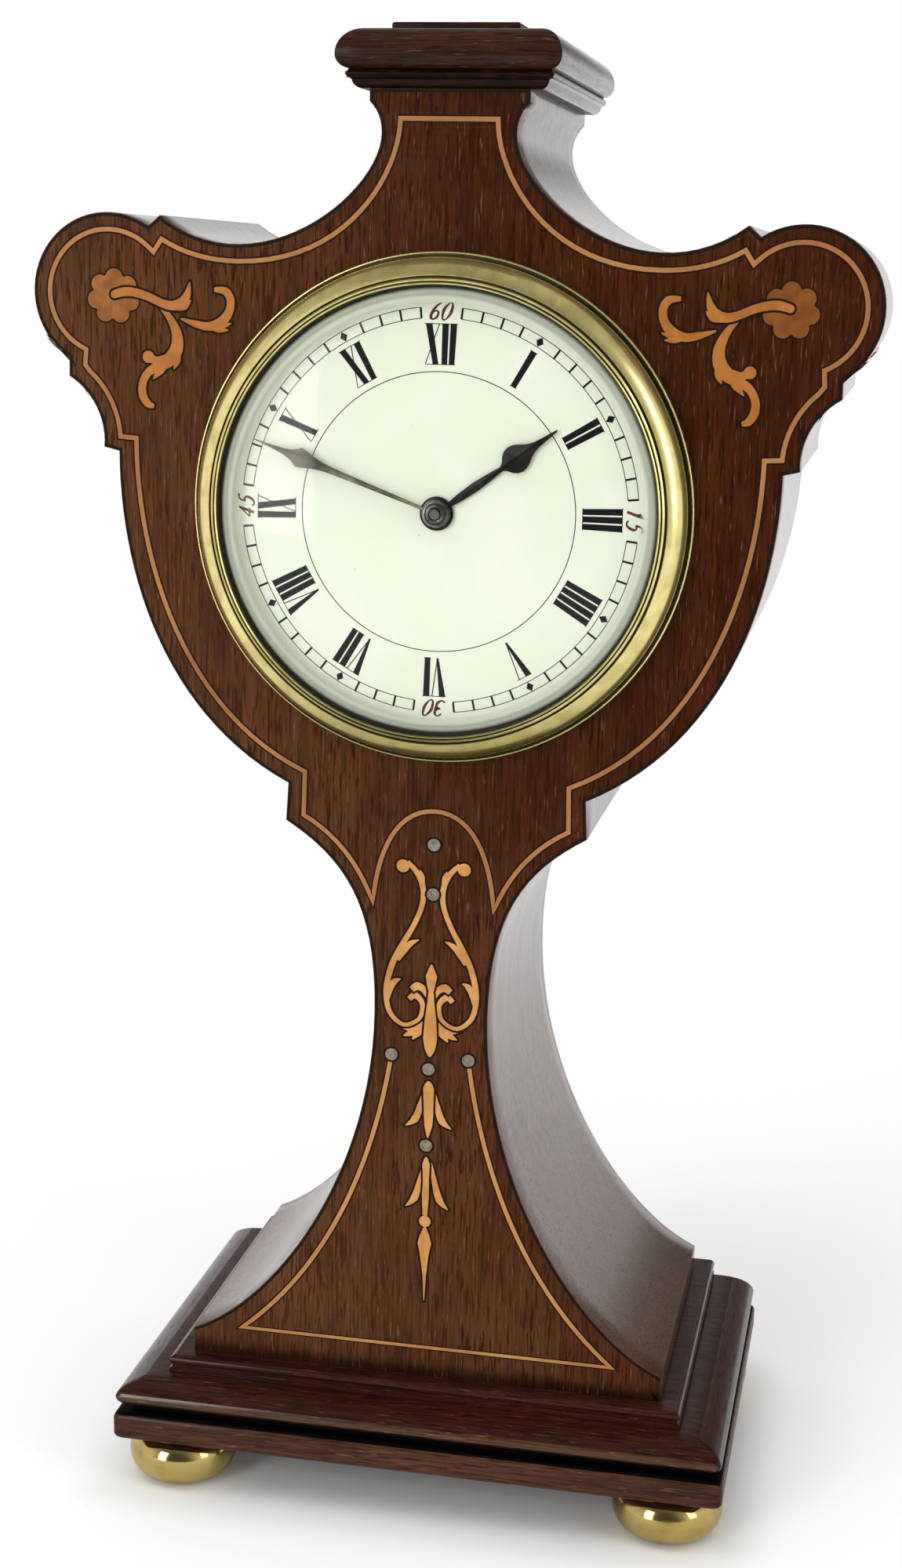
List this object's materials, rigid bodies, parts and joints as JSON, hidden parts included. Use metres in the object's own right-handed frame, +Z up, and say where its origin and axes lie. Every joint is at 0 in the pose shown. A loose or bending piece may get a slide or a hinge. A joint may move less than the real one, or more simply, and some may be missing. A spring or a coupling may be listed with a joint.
{
  "type": "mantel clock",
  "caption": "Balloon mantel clock: waisted inlaid mahogany case with eared shoulders, brass bezel and bun feet, white Roman dial, back-wound lever movement behind a hinged door",
  "frame": {"origin": "on the table plane, under the middle of the base", "axes": "+X to the right seen from the front, +Y towards the back, +Z up; the dial faces -Y"},
  "size_m": [0.1612, 0.085, 0.2928],
  "materials": {
    "mahogany": "french polished",
    "dark_mahogany": "french polished, gloss",
    "ebonised": "satin black stain",
    "polished_brass": "polished",
    "movement_brass": "brushed",
    "steel": "fine ground",
    "blued_steel": "dark blued",
    "enamel": "gloss",
    "glass": "clear, bevelled edge"
  },
  "bodies": {
    "case": {"case_front": "mahogany", "case_core": "mahogany", "case_back": "mahogany", "cap_moulding": "dark_mahogany", "cap_slab": "dark_mahogany", "cap_plate": "dark_mahogany", "plinth_step": "dark_mahogany", "plinth_moulding": "dark_mahogany", "plinth_fillet": "ebonised", "base_plate": "dark_mahogany", "foot_front_left": "polished_brass", "foot_front_right": "polished_brass", "foot_back_left": "polished_brass", "foot_back_right": "polished_brass", "bezel": "polished_brass", "glass": "glass", "sight_ring": "polished_brass", "dial": "enamel", "drum": "movement_brass", "front_plate": "movement_brass", "back_plate": "movement_brass", "pillar_1": "movement_brass", "pillar_2": "movement_brass", "pillar_3": "movement_brass", "pillar_4": "movement_brass", "click_spring": "steel", "platform": "movement_brass", "escape_bridge": "movement_brass", "balance_cock": "movement_brass", "hairspring": "steel", "back_ring": "movement_brass", "hinge_pin": "steel"},
    "minute_work": {"centre_arbor": "steel", "cannon_pinion": "steel", "minute_hand": "blued_steel", "hand_collet": "steel", "set_knob": "polished_brass"},
    "minute_wheel_work": {"minute_wheel": "movement_brass"},
    "hour_work": {"hour_wheel": "movement_brass", "hour_hand": "blued_steel"},
    "barrel_work": {"barrel": "movement_brass", "barrel_cover": "movement_brass", "mainspring": "steel"},
    "intermediate_work": {"intermediate_wheel": "movement_brass"},
    "centre_work": {"centre_wheel": "movement_brass"},
    "third_work": {"third_wheel": "movement_brass"},
    "fourth_work": {"fourth_wheel": "movement_brass"},
    "escape_work": {"escape_wheel": "steel"},
    "lever_work": {"pallet_lever": "steel"},
    "balance_work": {"balance": "movement_brass"},
    "index_work": {"regulator_index": "steel"},
    "winding_work": {"winding_arbor": "steel", "ratchet_wheel": "steel", "winding_key": "polished_brass"},
    "click_work": {"click": "steel"},
    "door_work": {"back_door": "movement_brass", "door_knob": "polished_brass"}
  },
  "joints": [
    {"name": "hands_set", "type": "hinge", "parent": "case", "child": "minute_work", "pos_m": [0, -0.0103, 0.2038], "axis": [0, 1, 0], "continuous": true},
    {"name": "minute_wheel_turn", "type": "hinge", "parent": "case", "child": "minute_wheel_work", "pos_m": [-0.01039, -0.0253, 0.2098], "axis": [0, 1, 0], "continuous": true},
    {"name": "hour_turn", "type": "hinge", "parent": "case", "child": "hour_work", "pos_m": [0, -0.0303, 0.2038], "axis": [0, 1, 0], "continuous": true},
    {"name": "third_turn", "type": "hinge", "parent": "case", "child": "third_work", "pos_m": [0.01062, -0.0103, 0.21123], "axis": [0, 1, 0], "continuous": true},
    {"name": "fourth_turn", "type": "hinge", "parent": "case", "child": "fourth_work", "pos_m": [0.00695, -0.0053, 0.2213], "axis": [0, 1, 0], "continuous": true},
    {"name": "escape_turn", "type": "hinge", "parent": "case", "child": "escape_work", "pos_m": [-0.00302, 0.0077, 0.22306], "axis": [0, 1, 0], "continuous": true},
    {"name": "centre_turn", "type": "hinge", "parent": "case", "child": "centre_work", "pos_m": [0, -0.0003, 0.2038], "axis": [0, 1, 0], "continuous": true},
    {"name": "intermediate_turn", "type": "hinge", "parent": "case", "child": "intermediate_work", "pos_m": [-0.01201, -0.0023, 0.19502], "axis": [0, 1, 0], "continuous": true},
    {"name": "barrel_turn", "type": "hinge", "parent": "case", "child": "barrel_work", "pos_m": [0, -0.0123, 0.1843], "axis": [0, 1, 0], "continuous": true},
    {"name": "lever_rock", "type": "hinge", "parent": "case", "child": "lever_work", "pos_m": [-0.00896, 0.0077, 0.22018], "axis": [0, 1, 0], "range_deg": [-5, 5]},
    {"name": "balance_swing", "type": "hinge", "parent": "case", "child": "balance_work", "pos_m": [-0.0167, 0.0117, 0.21644], "axis": [0, 1, 0], "range_deg": [-220, 220], "stiffness_Nm_per_rad": 0.00003, "deforming": ["hairspring"]},
    {"name": "index_turn", "type": "hinge", "parent": "case", "child": "index_work", "pos_m": [-0.0167, 0.0167, 0.21644], "axis": [0, 1, 0], "range_deg": [-20, 20]},
    {"name": "winding_turn", "type": "hinge", "parent": "case", "child": "winding_work", "pos_m": [0, 0.0097, 0.1843], "axis": [0, -1, 0], "range_deg": [0, 1440], "deforming": ["mainspring"]},
    {"name": "click_lift", "type": "hinge", "parent": "case", "child": "click_work", "pos_m": [0.00819, 0.0057, 0.19004], "axis": [0, 1, 0], "range_deg": [0, 12], "stiffness_Nm_per_rad": 0.002, "springref_deg": -8.59},
    {"name": "door_swing", "type": "hinge", "parent": "case", "child": "door_work", "pos_m": [-0.046, 0.0398, 0.2038], "axis": [0, 0, 1], "range_deg": [0, 150]}
  ],
  "couplings": [
    {"joint": "minute_wheel_turn", "follows": "hands_set", "ratio": -0.33333},
    {"joint": "hour_turn", "follows": "hands_set", "ratio": 0.083333},
    {"joint": "fourth_turn", "follows": "third_turn", "ratio": -7.5},
    {"joint": "escape_turn", "follows": "third_turn", "ratio": 60},
    {"joint": "centre_turn", "follows": "third_turn", "ratio": -0.125},
    {"joint": "intermediate_turn", "follows": "third_turn", "ratio": 0.025},
    {"joint": "barrel_turn", "follows": "third_turn", "ratio": -0.0041667}
  ]
}
